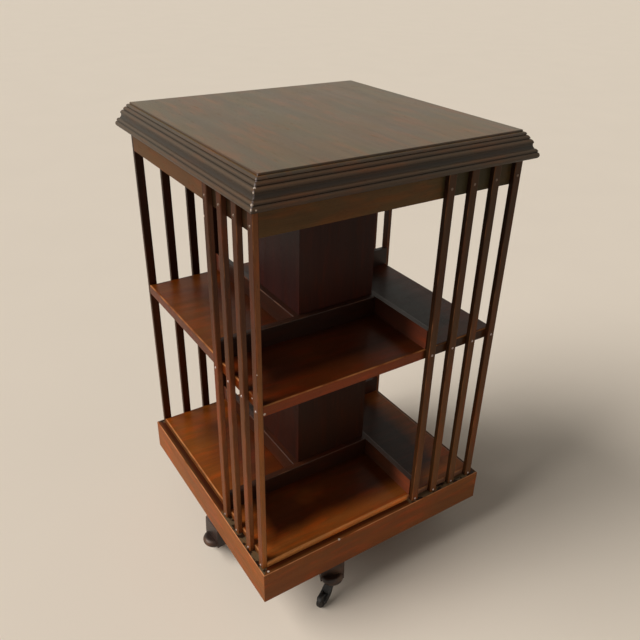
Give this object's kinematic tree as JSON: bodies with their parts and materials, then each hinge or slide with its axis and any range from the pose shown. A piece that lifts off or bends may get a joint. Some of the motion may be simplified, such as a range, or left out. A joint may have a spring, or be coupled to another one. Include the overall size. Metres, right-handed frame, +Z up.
{
  "type": "revolving bookcase",
  "caption": "Square slatted mahogany bookcase with open bays on two levels round a hidden post, turning on a low cross-shaped stand with swivel castors, under a moulded top.",
  "frame": {"origin": "on the floor under the axis of the centre post, on which the case turns", "axes": "+Z up along the post; the case's front is its -Y side and its right side is +X, at rest"},
  "size_m": [0.5106, 0.493, 0.833],
  "materials": {
    "top_mahogany": "satin French polish, greyed by wear",
    "moulding_mahogany": "satin French polish, dark, rubbed along the edges",
    "frame_mahogany": "satin French polish",
    "shelf_mahogany": "satin French polish, rubbed along the edges",
    "slat_mahogany": "satin French polish, rubbed along the arrises",
    "box_mahogany": "satin French polish",
    "rail_mahogany": "satin French polish",
    "stand_mahogany": "dull stain and polish",
    "turned_beech": "bare turned wood, waxed",
    "inner_pine": "bare sawn wood",
    "black_iron": "worn black",
    "iron_brads": "dull, dark",
    "brass_bush": "turned, dull"
  },
  "bodies": {
    "base": {"bearer_lower": "stand_mahogany", "bearer_upper": "stand_mahogany", "centre_post": "turned_beech", "post_wedge": "turned_beech", "pivot_pin": "black_iron", "castor_sockets": "black_iron", "castor_screws": "black_iron"},
    "case": {"bottom_shelf": "shelf_mahogany", "cornice_back": "moulding_mahogany", "cornice_front": "moulding_mahogany", "cornice_left": "moulding_mahogany", "cornice_right": "moulding_mahogany", "frieze_back": "frame_mahogany", "frieze_front": "frame_mahogany", "frieze_left": "frame_mahogany", "frieze_right": "frame_mahogany", "glue_blocks": "inner_pine", "guide_board": "inner_pine", "guide_bush": "brass_bush", "lower_box_panel_back": "box_mahogany", "lower_box_panel_front": "box_mahogany", "lower_box_panel_left": "box_mahogany", "lower_box_panel_right": "box_mahogany", "lower_rail_back": "rail_mahogany", "lower_rail_front": "rail_mahogany", "lower_rail_left": "rail_mahogany", "lower_rail_right": "rail_mahogany", "mid_shelf": "shelf_mahogany", "pivot_block": "inner_pine", "pivot_cup": "black_iron", "plinth_back": "frame_mahogany", "plinth_front": "frame_mahogany", "plinth_left": "frame_mahogany", "plinth_right": "frame_mahogany", "slat_brads": "iron_brads", "slats_back": "slat_mahogany", "slats_front": "slat_mahogany", "slats_left": "slat_mahogany", "slats_right": "slat_mahogany", "top_board": "top_mahogany", "upper_box_panel_back": "box_mahogany", "upper_box_panel_front": "box_mahogany", "upper_box_panel_left": "box_mahogany", "upper_box_panel_right": "box_mahogany", "upper_rail_back": "rail_mahogany", "upper_rail_front": "rail_mahogany", "upper_rail_left": "rail_mahogany", "upper_rail_right": "rail_mahogany"},
    "castor_left": {"castor_horn_left": "black_iron", "castor_axle_left": "black_iron"},
    "wheel_left": {"castor_wheel_left": "black_iron"},
    "castor_front": {"castor_horn_front": "black_iron", "castor_axle_front": "black_iron"},
    "wheel_front": {"castor_wheel_front": "black_iron"},
    "castor_right": {"castor_horn_right": "black_iron", "castor_axle_right": "black_iron"},
    "wheel_right": {"castor_wheel_right": "black_iron"},
    "castor_back": {"castor_horn_back": "black_iron", "castor_axle_back": "black_iron"},
    "wheel_back": {"castor_wheel_back": "black_iron"}
  },
  "joints": [
    {"name": "case_turn", "type": "hinge", "parent": "base", "child": "case", "pos_m": [0, 0, 0.776], "axis": [0, 0, 1], "continuous": true},
    {"name": "castor_swivel_left", "type": "hinge", "parent": "base", "child": "castor_left", "pos_m": [-0.23383, -0.02128, 0.0386], "axis": [0, 0, 1], "continuous": true},
    {"name": "wheel_spin_left", "type": "hinge", "parent": "castor_left", "child": "wheel_left", "pos_m": [-0.22718, 0.01002, 0.014], "axis": [-0.9781, 0.2079, 0], "continuous": true},
    {"name": "castor_swivel_front", "type": "hinge", "parent": "base", "child": "castor_front", "pos_m": [-0.08758, -0.21786, 0.0386], "axis": [0, 0, 1], "continuous": true},
    {"name": "wheel_spin_front", "type": "hinge", "parent": "castor_front", "child": "wheel_front", "pos_m": [-0.11681, -0.23087, 0.014], "axis": [0.4067, -0.9135, 0], "continuous": true},
    {"name": "castor_swivel_right", "type": "hinge", "parent": "base", "child": "castor_right", "pos_m": [0.23383, 0.02128, 0.0386], "axis": [0, 0, 1], "continuous": true},
    {"name": "wheel_spin_right", "type": "hinge", "parent": "castor_right", "child": "wheel_right", "pos_m": [0.21783, 0.04899, 0.014], "axis": [-0.866, -0.5, 0], "continuous": true},
    {"name": "castor_swivel_back", "type": "hinge", "parent": "base", "child": "castor_back", "pos_m": [0.08758, 0.21786, 0.0386], "axis": [0, 0, 1], "continuous": true},
    {"name": "wheel_spin_back", "type": "hinge", "parent": "castor_back", "child": "wheel_back", "pos_m": [0.11765, 0.2288, 0.014], "axis": [-0.342, 0.9397, 0], "continuous": true}
  ]
}
